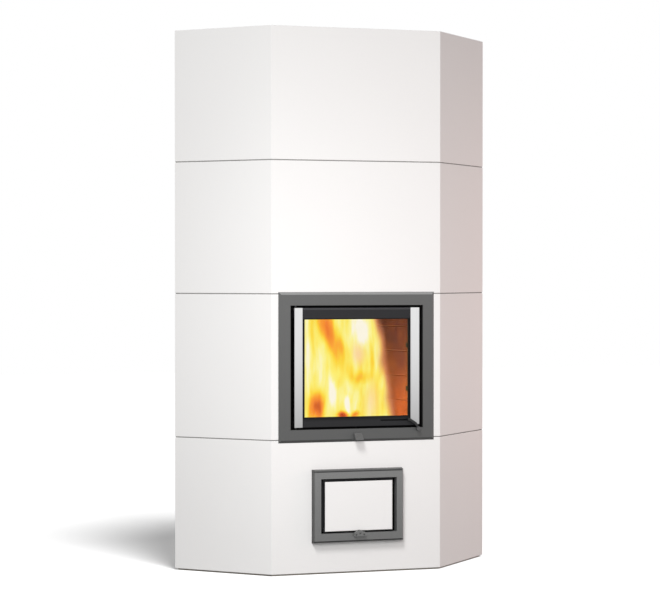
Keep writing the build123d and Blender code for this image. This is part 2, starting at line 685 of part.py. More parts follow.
def clip_places():
    """Screw positions of the glass clips, on the leaf's left and right stiles."""
    edge = REBATE_HALF + 6
    sides = [(side * edge, z) for side in (-1, 1) for z in CLIP_LEVELS]
    return sides + [(side * 100, LEAF_TOP - 22) for side in (-1, 1)]


def glass_clips():
    """Cranked clips that hold the glass in its rebate, each over its screw hole."""
    clips = []
    for x, z in clip_places():
        if abs(x) > REBATE_HALF:
            side = 1 if x > 0 else -1
            nose = sorted(side * (REBATE_HALF - step) for step in CLIP_NOSE)
            reach = sorted((x + side * 5, side * (REBATE_HALF - CLIP_NOSE[1])))
            wide = (z - CLIP_HALF, z + CLIP_HALF)
            plate = block(reach, (LEAF_BACK, LEAF_BACK + CLIP_THICK), wide)
            foot = block(nose, (GLASS_BACK, LEAF_BACK), wide)
        else:
            wide = (x - CLIP_HALF, x + CLIP_HALF)
            plate = block(wide, (LEAF_BACK, LEAF_BACK + CLIP_THICK), (z - 16, z + 5))
            foot = block(wide, (GLASS_BACK, LEAF_BACK), (z - 16, z - 12))
        clips.append(plate + foot - rod(CLIP_SCREW_R, (x, LEAF_BACK, z), "y", 10))
    return clips


def clip_screws():
    """One small screw in each glass clip."""
    screws = []
    for x, z in clip_places():
        shank = rod(CLIP_SCREW_R, (x, LEAF_BACK - 3, z), "y", 9)
        head = rod(2 * CLIP_SCREW_R, (x, LEAF_BACK + CLIP_THICK + 0.7, z), "y", 1.4)
        screws.append(shank + head)
    return screws


def door_strip(side):
    """A bright side strip, splayed a little towards the glass: side is -1 or 1."""
    outer = side * LEAF_HALF
    inner = side * STRIP_INNER
    plan = [(outer, LEAF_FRONT), (outer, STRIP_FRONT), (inner, STRIP_INNER_FRONT), (inner, LEAF_FRONT)]
    strip = prism(Polygon(*plan, align=None), LEAF_BOTTOM, LEAF_TOP)
    if side > 0:
        low = LEAF_BOTTOM - 1
        left = STRIP_INNER - 1
        right = LEAF_HALF + 1
        corner = [(left, low), (right, low), (right, STRIP_RIGHT_BOTTOM), (STRIP_CUT_X, STRIP_RIGHT_BOTTOM)]
        corner += [(STRIP_INNER, STRIP_CUT_Z), (left, STRIP_CUT_Z)]
        strip -= elevation(corner, STRIP_FRONT - 1, LEAF_FRONT)
    return strip


def air_lever():
    """The air control: an arm in front of the leaf, a knob, and a stem through the slot."""
    stem_x = (AIR_STEM_RIGHT - AIR_STEM, AIR_STEM_RIGHT)
    stem_z = (AIR_Z - AIR_SLOT / 2 + 0.3, AIR_Z + AIR_SLOT / 2 - 0.3)
    back = STRIP_FRONT - 1
    front = back - AIR_ARM_THICK
    stem = block(stem_x, (back, POCKET_FRONT + 6), stem_z)
    leg = block(stem_x, (POCKET_FRONT + 1, POCKET_FRONT + 6), (SHUTTER_TOP, stem_z[1]))
    x, z = AIR_KNOB
    knob = rod(AIR_KNOB_R, (x, front - AIR_KNOB_LENGTH / 2, z), "y", AIR_KNOB_LENGTH)
    return elevation(AIR_ARM, front, back) + stem + leg + fillet(knob.edges(), 3)


def air_shutter():
    """The sliding plate on the pocket's floor that opens or shuts the ports."""
    x = (POCKET_X[0] + AIR_TRAVEL + 4, POCKET_X[1] - 6)
    y = (POCKET_FRONT + 0.8, LEAF_BACK - POCKET_BACK_WALL - 0.5)
    return block(x, y, (POCKET_FLOOR + 0.3, SHUTTER_TOP))


def door_bolt():
    """The door's bolt: a slanted thumb tab in front, a neck through the slot and a pin behind."""
    root = -FRAME_PROUD - 1
    tip = -FRAME_PROUD - TAB_REACH
    neck_low, neck_high = BOLT_NECK
    tab = [(root, TAB_TOP - 5), (root - 3.5, TAB_TOP), (tip, TAB_BOTTOM + 4), (tip, TAB_BOTTOM)]
    tab += [(tip + 3.5, TAB_BOTTOM), (root - 1.5, neck_high), (root - 1.5, neck_low + 1), (root, neck_low)]
    neck = block(both(BOLT_SLOT_HALF - 0.5), (root - 1, 2), BOLT_NECK)
    carriage = block(both(BOLT_CARRIAGE_HALF), (1, BOLT_Y + 5), (neck_low - 1, neck_high + 3))
    pin = rod(BOLT_R, (0, BOLT_Y, (neck_low + BOLT_TOP) / 2), "z", BOLT_TOP - neck_low)
    point = pin.edges().sort_by(Axis.Z)[-1]
    return profile(tab, -TAB_HALF, TAB_HALF) + neck + carriage + chamfer(point, 0.8)


# ------------------------------------------------------------------ ash door
def ash_frame():
    """The ash door's deep frame with its two grooves, throat, seal stop and bores."""
    open_z = (ASH_OPEN_BOTTOM, ASH_OPEN_TOP)
    outside = (ASH_FRAME_HALF, ASH_FRAME_BOTTOM, ASH_FRAME_TOP)
    frame = bevelled_plate(*outside, ASH_FRAME_SIDE, ASH_FRAME_PROUD, ASH_BEVEL, ASH_FRAME_DRAFT)
    low_groove = (ASH_FRAME_BOTTOM + ASH_BEVEL, ASH_FRAME_BOTTOM + ASH_BEVEL + ASH_GROOVE)
    high_groove = (ASH_FRAME_TOP - ASH_BEVEL - ASH_GROOVE, ASH_FRAME_TOP - ASH_BEVEL)
    for groove_z in (low_groove, high_groove):
        frame -= block(both(ASH_GROOVE_HALF), (-ASH_FRAME_PROUD - 1, -ASH_GROOVE_FLOOR), groove_z)
    throat_z = (ASH_OPEN_BOTTOM - ASH_THROAT_WALL, ASH_OPEN_TOP + ASH_THROAT_WALL)
    frame += block(both(ASH_OPEN_HALF + ASH_THROAT_WALL), (0, THROAT_BACK), throat_z)
    frame -= block(both(ASH_OPEN_HALF), (-ASH_FRAME_PROUD - 1, THROAT_BACK + 1), open_z)
    stop_y = (ASH_STOP_FRONT, ASH_STOP_FRONT + ASH_STOP_THICK)
    stop_z = (ASH_STOP_BOTTOM, ASH_STOP_TOP)
    frame += window_frame(both(ASH_OPEN_HALF), open_z, both(ASH_STOP_HALF), stop_z, stop_y)
    frame -= block(both(CATCH_GAP), stop_y, (ASH_OPEN_BOTTOM, ASH_STOP_BOTTOM))
    for z in (ASH_OPEN_TOP + PIN_FIXED / 2, ASH_OPEN_BOTTOM - PIN_FIXED / 2):
        frame -= rod(HINGE_R, (ASH_HINGE_X, ASH_HINGE_Y, z), "z", PIN_FIXED)
    return frame - screw_holes(ASH_OPEN_HALF, ASH_SCREW_LEVELS)


def ash_leaf():
    """The ash door's steel tray, with the tile's seat in front and a lug for the latch."""
    z = (ASH_LEAF_BOTTOM, ASH_LEAF_TOP)
    leaf = block(both(ASH_LEAF_HALF), (ASH_LEAF_FRONT, ASH_LEAF_BACK), z)
    leaf -= block(both(ASH_TRAY_HALF), (ASH_LEAF_FRONT + ASH_TRAY_WALL, ASH_LEAF_BACK), ASH_TRAY_LEVELS)
    lug_bottom = ASH_LATCH_Z - ASH_HUB_R + 0.4
    leaf += block(both(2 * ASH_HUB_R), (ASH_LEAF_FRONT, ASH_LEAF_BACK), (lug_bottom, ASH_LEAF_BOTTOM))
    leaf -= rod(ASH_SPINDLE_R + RUNNING, (0, 4, ASH_LATCH_Z), "y", 60)
    lug_x = (ASH_HINGE_X - LUG_HALF, ASH_HINGE_X + LUG_HALF)
    for end, inward in ((ASH_LEAF_TOP, -1), (ASH_LEAF_BOTTOM, 1)):
        lug_z = sorted((end, end + inward * LUG_HEIGHT))
        leaf += block(lug_x, (ASH_HINGE_Y - LUG_HALF, ASH_LEAF_FRONT), lug_z)
        middle = end + inward * PIN_SEAT / 2
        leaf -= rod(HINGE_R + RUNNING, (ASH_HINGE_X, ASH_HINGE_Y, middle), "z", PIN_SEAT)
    return leaf


def ash_tile():
    """The white tile on the ash door, notched round the hinge lugs and the latch."""
    tile = block(both(ASH_TILE_HALF), (ASH_TILE_FRONT, ASH_LEAF_FRONT), (ASH_TILE_BOTTOM, ASH_TILE_TOP))
    front_edges = tile.faces().sort_by(Axis.Y)[0].edges()
    tile = chamfer(front_edges, TILE_ARRIS)
    seat_x = (ASH_HINGE_X - LUG_HALF - 1, ASH_HINGE_X + LUG_HALF + 1)
    for end in (ASH_LEAF_TOP, ASH_LEAF_BOTTOM):
        seat_z = (end - LUG_HEIGHT - 1, end + LUG_HEIGHT + 1)
        tile -= block(seat_x, (ASH_HINGE_Y - LUG_HALF - 0.5, ASH_LEAF_FRONT), seat_z)
    notch = (ASH_TILE_BOTTOM, ASH_LATCH_Z + ASH_HUB_R + 1)
    return tile - block(both(ASH_HUB_R + 1), (ASH_TILE_FRONT, ASH_LEAF_FRONT), notch)


def ash_latch():
    """The ash door's turn latch: a winged knob, a spindle and a catch behind the seal stop."""
    z = ASH_LATCH_Z
    right = [(x, z + level) for x, level in WING_OUTLINE]
    left = [(-x, level) for x, level in reversed(right)]
    back = -ASH_FRAME_PROUD - WING_GAP
    front = back - WING_THICK
    knob = elevation(right + left, front, back)
    knob -= [rod(DIMPLE_R, (x, front, z + level), "y", 2 * DIMPLE_DEEP) for x, level in DIMPLES]
    hub = rod(ASH_HUB_R, (0, (front + ASH_TILE_FRONT) / 2, z), "y", ASH_TILE_FRONT - front)
    spindle = rod(ASH_SPINDLE_R, (0, (back + ASH_CATCH_Y[1]) / 2, z), "y", ASH_CATCH_Y[1] - back)
    catch = block(both(CATCH_HALF), ASH_CATCH_Y, (z - CATCH_HALF, z + CATCH_REACH))
    return knob + hub + spindle + catch


def ash_rope():
    """The ash door's rope seal, open where the latch's spindle passes."""
    loop = seal_loop(ASH_ROPE_HALF, *ASH_ROPE_LEVELS, ASH_ROPE, (ASH_LEAF_BACK, ASH_STOP_FRONT - ROPE_GAP))
    return loop - block(both(5), (ASH_LEAF_BACK, ASH_STOP_FRONT), (ASH_OPEN_BOTTOM, ASH_LATCH_Z + 10))


def ash_box():
    """The ash pan, with a grip on its front."""
    z = (ASH_FLOOR + 0.3, BOX_TOP)
    pan = block(both(BOX_HALF), (BOX_FRONT, BOX_BACK), z)
    inner_y = (BOX_FRONT + BOX_WALL, BOX_BACK - BOX_WALL)
    pan -= block(both(BOX_HALF - BOX_WALL), inner_y, (z[0] + BOX_WALL, BOX_TOP))
    grip = block(both(GRIP_HALF), (BOX_FRONT - GRIP_REACH, BOX_FRONT), GRIP_LEVELS)
    low, high = GRIP_LEVELS
    hollow_y = (BOX_FRONT - GRIP_REACH + GRIP_WALL, BOX_FRONT)
    return pan + (grip - block(both(GRIP_HALF - GRIP_WALL), hollow_y, (low - 1, high - GRIP_WALL)))


# ------------------------------------------------------------------ nodes
def nodes():
    """Every piece of the stove, by the name of its node."""
    spans = course_spans()
    low, high = spans[1]
    rope_y = (LEAF_BACK, STOP_FRONT - ROPE_GAP)
    ash_open = (ASH_OPEN_BOTTOM, ASH_OPEN_TOP)
    made = {
        "base_plate": [prism(outline(8), 0, FLOOR_LINE)],
        "course_1_front": [ash_course(*spans[0])],
        "course_2_left": [door_course(low, high, -1)],
        "course_2_right": [door_course(low, high, 1)],
        "course_3_front": [course(*spans[2], True)],
        "course_4_front": [course(*spans[3], True)],
        "bed_joints": bed_joints(),
        "top_slab": [top_slab()],
        "foundation": [prism(outline(CORE_OUT), FLOOR_LINE, FOUNDATION_TOP)],
        "ash_floor": [block(both(ASH_HALF), (FIRE_FRONT, FIRE_BACK), (FOUNDATION_TOP, ASH_FLOOR))],
        "ash_chamber_bricks": ash_chamber(),
        "hearth_slab": [hearth_slab()],
        "floor_bricks": floor_bricks(),
        "fire_grate": [grate()],
        "firebrick_left": brick_wall(brick_plan(-1), Vector(1, 0, 0)),
        "firebrick_right": brick_wall(brick_plan(1), Vector(-1, 0, 0)),
        "firebrick_back": brick_wall(back_plan(), Vector(0, -1, 0)),
        "smoke_baffle": [smoke_baffle()],
        "riser_walls": [riser_wall(-1), riser_wall(1)],
        "ceiling_slab": [ceiling_slab()],
        "insulation_board": [insulation_board()],
        "flue_collar": [flue_collar()],
        "damper_frame": [damper_frame()],
        "damper_plate": [damper_plate()],
        "damper_knob": [damper_knob()],
        "flue_spigot": [flue_spigot()],
        "damper_bolts": damper_bolts(),
        "door_frame": [door_frame()],
        "door_frame_screws": throat_screws(OPEN_HALF, DOOR_SCREW_LEVELS),
        "door_leaf": [door_leaf()],
        "door_pins": hinge_pins(HINGE_X, HINGE_Y, (OPEN_BOTTOM, OPEN_TOP), (LEAF_BOTTOM, LEAF_TOP)),
        "door_glass": [door_glass()],
        "glass_rope": [glass_rope()],
        "door_rope": [seal_loop(DOOR_ROPE_HALF, *DOOR_ROPE_LEVELS, DOOR_ROPE, rope_y)],
        "glass_clips": glass_clips(),
        "clip_screws": clip_screws(),
        "door_strip_left": [door_strip(-1)],
        "door_strip_right": [door_strip(1)],
        "air_lever": [air_lever()],
        "air_shutter": [air_shutter()],
        "door_bolt": [door_bolt()],
        "ash_frame": [ash_frame()],
        "ash_screws": throat_screws(ASH_OPEN_HALF, ASH_SCREW_LEVELS),
        "ash_leaf": [ash_leaf()],
        "ash_tile": [ash_tile()],
        "ash_rope": [ash_rope()],
        "ash_pins": hinge_pins(ASH_HINGE_X, ASH_HINGE_Y, ash_open, (ASH_LEAF_BOTTOM, ASH_LEAF_TOP)),
        "ash_latch": [ash_latch()],
        "ash_box": [ash_box()],
    }
    for number, (bottom, top) in enumerate(spans, start=1):
        made[f"course_{number}_rear"] = [course(bottom, top, False)]
    for number, (bottom, top) in enumerate(zip(RING_LEVELS, RING_LEVELS[1:]), start=1):
        made[f"core_ring_{number}"] = [core_ring(bottom, top)]
    through = (CORE_OUT - 1, CORE_IN + 1)
    made["core_ring_1"][0] -= block(both(ASH_WAY_HALF), through, ASH_WAY_LEVELS)
    made["core_ring_2"][0] -= block(both(FIRE_WAY_HALF), through, FIRE_WAY_LEVELS)
    chamber = (RING_LEVELS[2] + BAFFLE, CHAMBER_TOP)
    for name, plan in (("left", brick_plan(-1)), ("right", brick_plan(1)), ("back", back_plan())):
        made[f"chamber_wall_{name}"] = [inside_core(prism(plan, *chamber), *chamber)]
    return made


os.makedirs("parts", exist_ok=True)
for node_name, pieces in nodes().items():
    solids = [solid for piece in pieces for solid in piece.solids()]
    export_step(Pos(0, -DEPTH / 2, 0) * Compound(solids), f"parts/{node_name}.step")
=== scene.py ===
import json
import math

import bpy
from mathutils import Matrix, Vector, noise


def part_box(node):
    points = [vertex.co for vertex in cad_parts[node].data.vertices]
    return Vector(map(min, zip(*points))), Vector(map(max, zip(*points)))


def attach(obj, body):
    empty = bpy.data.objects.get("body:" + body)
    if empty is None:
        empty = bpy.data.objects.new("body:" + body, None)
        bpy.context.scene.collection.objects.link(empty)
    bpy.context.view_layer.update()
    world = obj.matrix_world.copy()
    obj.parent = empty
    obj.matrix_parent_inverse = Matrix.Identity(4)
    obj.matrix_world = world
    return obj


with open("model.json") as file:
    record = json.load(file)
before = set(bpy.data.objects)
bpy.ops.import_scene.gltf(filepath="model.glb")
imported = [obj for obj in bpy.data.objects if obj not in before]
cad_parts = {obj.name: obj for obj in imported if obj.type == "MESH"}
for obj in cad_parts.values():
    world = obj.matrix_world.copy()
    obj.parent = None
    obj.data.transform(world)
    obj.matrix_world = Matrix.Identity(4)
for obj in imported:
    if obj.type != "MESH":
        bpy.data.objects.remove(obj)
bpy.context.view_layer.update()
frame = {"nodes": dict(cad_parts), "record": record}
NODES = frame["nodes"]

# ------------------------------------------------------------------ places read from the frame
ROOT_BODY = "stove"
FRONT_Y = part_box("course_3_front")[0].y
FIRE_FLOOR_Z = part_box("floor_bricks")[1].z
LINTEL_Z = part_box("smoke_baffle")[0].z
FIRE_FRONT_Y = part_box("firebrick_right")[0].y
FIRE_BACK_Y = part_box("firebrick_back")[0].y
SIDE_WALL_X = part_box("firebrick_right")[0].x  # where the splayed wall is nearest to the middle
LEAF_LOW, LEAF_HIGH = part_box("door_leaf")
ASH_LOW, ASH_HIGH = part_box("ash_frame")
TILE_FRONT_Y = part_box("ash_tile")[0].y
KNOB_ACROSS = 0.015  # the round knob at the air lever's lower end
KNOB_TOP_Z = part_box("air_lever")[0].z + KNOB_ACROSS
GLASS_LAP = 0.0055  # how far the pane reaches behind the leaf
WINDOW_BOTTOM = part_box("door_glass")[0].z + GLASS_LAP
WINDOW_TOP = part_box("door_glass")[1].z - GLASS_LAP

# ------------------------------------------------------------------ camera, from the photograph's perspective
CAMERA_PLACE = (-2.3665, -7.3104, 1.0114)
CAMERA_PITCH = math.radians(90 - 0.698)
CAMERA_YAW = math.radians(-18.228)
SENSOR = 36.0
LENS = 117.70


def make_camera():
    data = bpy.data.cameras.new("camera")
    data.sensor_fit = "HORIZONTAL"
    data.sensor_width = SENSOR
    data.lens = LENS
    data.clip_start = 0.1
    data.clip_end = 100
    camera = bpy.data.objects.new("camera", data)
    camera.location = CAMERA_PLACE
    camera.rotation_euler = (CAMERA_PITCH, 0, CAMERA_YAW)
    bpy.context.scene.collection.objects.link(camera)
    bpy.context.scene.camera = camera


# ------------------------------------------------------------------ node-tree helper
PATCH_DEPTH = 100.0  # a patch reaches through everything along Y


class Tree:
    """A thin wrapper round a material's or world's node tree."""

    def __init__(self, tree):
        self.tree = tree
        tree.nodes.clear()

    def add(self, kind, settings=None, **inputs):
        """A node of a kind, with its settings and its inputs: a value, or another node's output.

        An input is named, with _ for each space, or is i and its number.
        """
        node = self.tree.nodes.new("ShaderNode" + kind)
        for name, value in (settings or {}).items():
            setattr(node, name, value)
        for name, value in inputs.items():
            key = name.replace("_", " ")
            socket = node.inputs[int(key[1:])] if key[1:].isdigit() else node.inputs[key]
            self.set(socket, value)
        return node

    def set(self, socket, value):
        if isinstance(value, bpy.types.NodeSocket):
            self.tree.links.new(value, socket)
        else:
            socket.default_value = value

    def place(self):
        """Coordinates fixed to the object, in metres."""
        return self.add("TexCoord").outputs["Object"]

    def stretched(self, scale):
        """The object's coordinates times a scale on each axis."""
        return self.add("Mapping", i0=self.place(), Scale=scale).outputs[0]

    def axis(self, name):
        """One of the object's coordinates: X, Y or Z."""
        return self.add("SeparateXYZ", Vector=self.place()).outputs[name]

    def upward(self, normal):
        """How a face looks, by one of the geometry's normals: 1 up, 0 sideways and -1 down."""
        return self.add("SeparateXYZ", Vector=self.add("NewGeometry").outputs[normal]).outputs["Z"]

    def noise(self, where, scale, detail=3.0, rough=0.5):
        made = self.add("TexNoise", Vector=where, Scale=scale, Detail=detail, Roughness=rough)
        return made.outputs["Fac"]

    def math(self, operation, a, b=0.0, clamp=False):
        return self.add("Math", {"operation": operation, "use_clamp": clamp}, i0=a, i1=b).outputs[0]

    def remap(self, value, low, high, new_low, new_high, smooth=False):
        kind = "SMOOTHSTEP" if smooth else "LINEAR"
        inputs = {"Value": value, "From_Min": low, "From_Max": high, "To_Min": new_low, "To_Max": new_high}
        return self.add("MapRange", {"interpolation_type": kind}, **inputs).outputs[0]

    def ramp(self, value, stops):
        made = self.add("ValToRGB", Fac=value)
        elements = made.color_ramp.elements
        while len(elements) > 1:
            elements.remove(elements[-1])
        for place, colour in stops:
            stop = elements[0] if place == stops[0][0] else elements.new(place)
            stop.position = place
            stop.color = (*colour, 1)
        return made.outputs["Color"]

    def mix(self, factor, a, b):
        """A blend of two colours, each a colour or an output."""
        made = self.add("Mix", {"data_type": "RGBA"})
        for socket, value in ((0, factor), (6, a), (7, b)):
            if isinstance(value, tuple):
                value = (*value, 1)
            self.set(made.inputs[socket], value)
        return made.outputs[2]

    def vector(self, operation, a, b=(0, 0, 0)):
        node = self.add("VectorMath", {"operation": operation}, i0=a, i1=b)
        return node.outputs["Value" if operation == "LENGTH" else "Vector"]

    def times(self, colour, share):
        """A colour times a share."""
        return self.vector("MULTIPLY", colour, self.add("CombineXYZ", X=share, Y=share, Z=share).outputs[0])

    def wavered(self, scale, amount):
        """The object's coordinates, pushed about by a noise."""
        push = self.add("TexNoise", Vector=self.stretched(scale), Scale=1.0, Detail=3.0).outputs["Color"]
        push = self.vector("SUBTRACT", push, (0.5, 0.5, 0.5))
        push = self.vector("MULTIPLY", push, amount)
        return self.vector("ADD", self.place(), push)

    def patch(self, where, x, z, half_width, half_length, lean, gain):
        """A soft oval on the XZ plane, leaning by an angle: gain at its middle and 0 at its edge."""
        settings = {"vector_type": "TEXTURE"}
        size = (half_width, PATCH_DEPTH, half_length)
        turn = (0, math.radians(lean), 0)
        place = self.add("Mapping", settings, i0=where, Location=(x, 0, z), Rotation=turn, Scale=size)
        reach = self.vector("LENGTH", place.outputs[0])
        return self.remap(reach, 0.0, 1.0, gain, 0.0, smooth=True)

    def bump(self, height, strength, distance):
        return self.add("Bump", Height=height, Strength=strength, Distance=distance).outputs[0]

    def finish(self, shader, kind="Material"):
        output = self.add("Output" + kind)
        self.tree.links.new(shader, output.inputs["Surface"])


def new_material(name):
    material = bpy.data.materials.new(name)
    material.use_nodes = True
    return material, Tree(material.node_tree)


# ------------------------------------------------------------------ materials
# black for the painted shade in throats and gaps behind a finish's front
PAINTED_SHADE_BLACK = (0.004, 0.004, 0.004)
COAT_END = 0.001  # the depth over which the white coat turns to the black of painted shade, where it ends
PAINT_END = 0.002  # the same for paint
PAINTED_TOP_LIGHT = 2.4  # how much paler paint is where it faces up, as painted highlight
PAINTED_UNDER_SHADE = 0.6  # how much darker where it faces down, as painted shade
COAT_TINTS = ((0.835, 0.822, 0.812), (0.875, 0.866, 0.858))
COAT_GRAIN = (0.70, 0.69, 0.68)
MORTAR_TINTS = ((0.16, 0.155, 0.15), (0.30, 0.295, 0.285))
PANE_TINTS = ((0.94, 0.93, 0.91), (1.0, 1.0, 1.0))
ROPE_TINTS = ((0.035, 0.034, 0.032), (0.13, 0.125, 0.12))
# brick low down in painted firelight, and brick high up darkened by soot and painted shade
FIRELIT_BRICK = ((0.46, 0.14, 0.030), (0.60, 0.20, 0.045))
SMOKED_SHADED_BRICK = ((0.088, 0.032, 0.038), (0.140, 0.050, 0.056))
ARRIS_FIRELIT = (0.62, 0.27, 0.11)  # the faces of the bricks that look down, pale orange as painted firelight


def white_casting(name="white_casting", painted_shade_behind=None):
    """Smooth white mineral coat over a fine-grained casting, with painted shade, black, behind a depth where
    one is given.
    """
    material, t = new_material(name)
    broad = t.noise(t.place(), 1.6, 2.0)
    grain = t.noise(t.place(), 420.0, 3.0, 0.6)
    waves = t.noise(t.place(), 9.0, 2.0)
    tint = t.mix(broad, *COAT_TINTS)
    colour = t.mix(t.remap(grain, 0.35, 0.75, 0.0, 0.10), tint, COAT_GRAIN)
    # painted shade: black behind the given depth, where the coat's edge leads into a gap
    if painted_shade_behind is not None:
        behind = t.remap(t.axis("Y"), painted_shade_behind, painted_shade_behind + COAT_END, 0.0, 1.0)
        colour = t.mix(behind, colour, PAINTED_SHADE_BLACK)
    height = t.math("ADD", t.math("MULTIPLY", grain, 0.35), waves)
    shader = t.add("BsdfPrincipled", Base_Color=colour, Normal=t.bump(height, 0.06, 0.004))
    t.set(shader.inputs["Roughness"], t.remap(grain, 0.3, 0.7, 0.50, 0.62))
    shader.inputs["Specular IOR Level"].default_value = 0.35
    t.finish(shader.outputs[0])
    return material


def mortar():
    """The thin bed joints between the courses."""
    material, t = new_material("mortar")
    grain = t.noise(t.place(), 900.0, 4.0)
    colour = t.mix(grain, *MORTAR_TINTS)
    shader = t.add("BsdfPrincipled", Base_Color=colour, Roughness=0.9, Normal=t.bump(grain, 0.4, 0.001))
    t.finish(shader.outputs[0])
    return material


def coarse(name, low, high, scale, depth):
    """A rough mineral surface with pores, between two colours."""
    material, t = new_material(name)
    body = t.noise(t.place(), scale, 5.0, 0.6)
    pores = t.add("TexVoronoi", Vector=t.place(), Scale=scale * 3).outputs["Distance"]
    colour = t.mix(body, low, high)
    height = t.math("ADD", body, t.remap(pores, 0.0, 0.35, 0.0, 1.0))
    shader = t.add("BsdfPrincipled", Base_Color=colour, Roughness=0.92, Normal=t.bump(height, 0.5, depth))
    t.finish(shader.outputs[0])
    return material


def painted(name, colour, rough, sparkle, painted_shade_behind=None, foot=1.0, painted_facing_light=False, bands=(), gloss=0.5):
    """Heat-resistant paint on steel: a fine texture and a mottled gloss, whose level is given.

    It is black behind a depth where one is given, as painted shade, and its colour falls to a share at the
    door's foot. With painted facing light, edges that face up get a painted highlight and edges that face
    down get painted shade. Each band gives two values of an axis and the shares of the colour at and beyond
    them.
    """
    material, t = new_material(name)
    fine = t.noise(t.place(), 1500.0, 2.0)
    broad = t.noise(t.place(), 24.0, 3.0)
    low = tuple(c * (1 - sparkle) for c in colour)
    high = tuple(c * (1 + sparkle) for c in colour)
    base = t.mix(t.remap(fine, 0.3, 0.7, 0.0, 1.0), low, high)
    if foot < 1.0:
        low_down = t.remap(t.axis("Z"), LEAF_LOW.z, LEAF_HIGH.z, 1.0, 0.0)
        base = t.mix(low_down, base, tuple(c * foot for c in colour))
    # painted highlight on faces that look up and painted shade on faces that look down
    if painted_facing_light:
        up = t.upward("Normal")
        gain = t.math("ADD", t.remap(up, 0.0, 0.5, 1.0, PAINTED_TOP_LIGHT), t.remap(up, -0.5, 0.0, -PAINTED_UNDER_SHADE, 0.0))
        base = t.times(base, gain)
    for axis, start, end, first, last in bands:
        base = t.times(base, t.remap(t.axis(axis), start, end, first, last))
    roughness = t.remap(broad, 0.3, 0.7, rough - 0.05, rough + 0.06)
    # painted shade: black behind the given depth, in the throat
    if painted_shade_behind is not None:
        behind = t.remap(t.axis("Y"), painted_shade_behind, painted_shade_behind + PAINT_END, 0.0, 1.0)
        base = t.mix(behind, base, PAINTED_SHADE_BLACK)
        roughness = t.math("MAXIMUM", roughness, behind)
    shader = t.add("BsdfPrincipled", Base_Color=base, Roughness=roughness, Normal=t.bump(fine, 0.12, 0.0004))
    shader.inputs["Metallic"].default_value = 0.15
    shader.inputs["Specular IOR Level"].default_value = gloss
    t.finish(shader.outputs[0])
    return material


def brushed(name, colour, rough, lines_along, foot=1.0):
    """Brushed steel, with its lines along an axis, darkened as painted shade to a share of its colour at the
    door's foot.
    """
    material, t = new_material(name)
    scale = [900.0, 900.0, 900.0]
    scale["XYZ".index(lines_along)] = 6.0
    lines = t.noise(t.stretched(tuple(scale)), 1.0, 4.0, 0.65)
    base = t.mix(lines, tuple(c * 0.86 for c in colour), colour)
    # painted shade in the reflection: darker towards the door's foot
    if foot < 1.0:
        foot_shade = t.math("POWER", t.remap(t.axis("Z"), LEAF_LOW.z, LEAF_HIGH.z, 1.0, 0.0), 1.8)
        base = t.mix(foot_shade, base, tuple(c * foot for c in colour))
    shader = t.add("BsdfPrincipled", Base_Color=base, Normal=t.bump(lines, 0.15, 0.0004))
    t.set(shader.inputs["Roughness"], t.remap(lines, 0.2, 0.8, rough - 0.06, rough + 0.08))
    shader.inputs["Metallic"].default_value = 1.0
    t.finish(shader.outputs[0])
    return material


def pane():
    """Clear heat-resistant glass, faintly smeared."""
    material, t = new_material("pane")
    smear = t.noise(t.place(), 14.0, 4.0)
    shader = t.add("BsdfPrincipled", Base_Color=t.mix(smear, *PANE_TINTS), Roughness=0.0)
    shader.inputs["Transmission Weight"].default_value = 1.0
    shader.inputs["IOR"].default_value = 1.15
    t.finish(shader.outputs[0])
    return material


def rope():
    """Braided glass-fibre rope."""
    material, t = new_material("rope")
    settings = {"bands_direction": "DIAGONAL"}
    strands = t.add("TexWave", settings, Vector=t.place(), Scale=260.0, Distortion=1.2).outputs["Fac"]
    shader = t.add("BsdfPrincipled", Base_Color=t.mix(strands, *ROPE_TINTS), Roughness=0.95)
    t.set(shader.inputs["Normal"], t.bump(strands, 0.8, 0.001))
    t.finish(shader.outputs[0])
    return material


def firebrick():
    """Fired brick, sooted and in painted shade near the top, orange in painted firelight low down and where
    it faces down.
    """
    material, t = new_material("firebrick")
    up = t.remap(t.axis("Z"), FIRE_FLOOR_Z, LINTEL_Z, 0.0, 1.0)
    stain = t.noise(t.place(), 11.0, 5.0, 0.6)
    grain = t.noise(t.place(), 160.0, 4.0)
    firelit = t.mix(grain, *FIRELIT_BRICK)
    smoked = t.mix(grain, *SMOKED_SHADED_BRICK)
    amount = t.math("ADD", up, t.remap(stain, 0.3, 0.7, -0.3, 0.3), clamp=True)
    # painted firelight on faces that look down
    arris = t.remap(t.upward("True Normal"), -0.8, -0.4, 1.0, 0.0)
    colour = t.mix(arris, t.mix(amount, firelit, smoked), ARRIS_FIRELIT)
    shader = t.add("BsdfPrincipled", Base_Color=colour, Roughness=0.88)
    t.set(shader.inputs["Normal"], t.bump(grain, 0.35, 0.002))
    t.finish(shader.outputs[0])
    return material


# the ash frame's painted light and shade: paler upwards, painted shade along its lower edge, upper bevel and
# flanks, and a painted highlight on its upper rim
ASH_PAINTED_LIGHT = [
    ("Z", ASH_LOW.z, ASH_HIGH.z, 0.76, 1.0),
    ("Z", ASH_LOW.z + 0.0075, ASH_LOW.z + 0.0085, 0.05, 1.0),
    ("Z", ASH_HIGH.z - 0.0088, ASH_HIGH.z - 0.0080, 1.0, 0.20),
    ("Z", ASH_HIGH.z - 0.0062, ASH_HIGH.z - 0.0056, 1.0, 2.1),
    ("X", ASH_LOW.x + 0.0015, ASH_LOW.x + 0.0050, 0.25, 1.0),
    ("X", ASH_HIGH.x - 0.0050, ASH_HIGH.x - 0.0020, 1.0, 0.55),
]
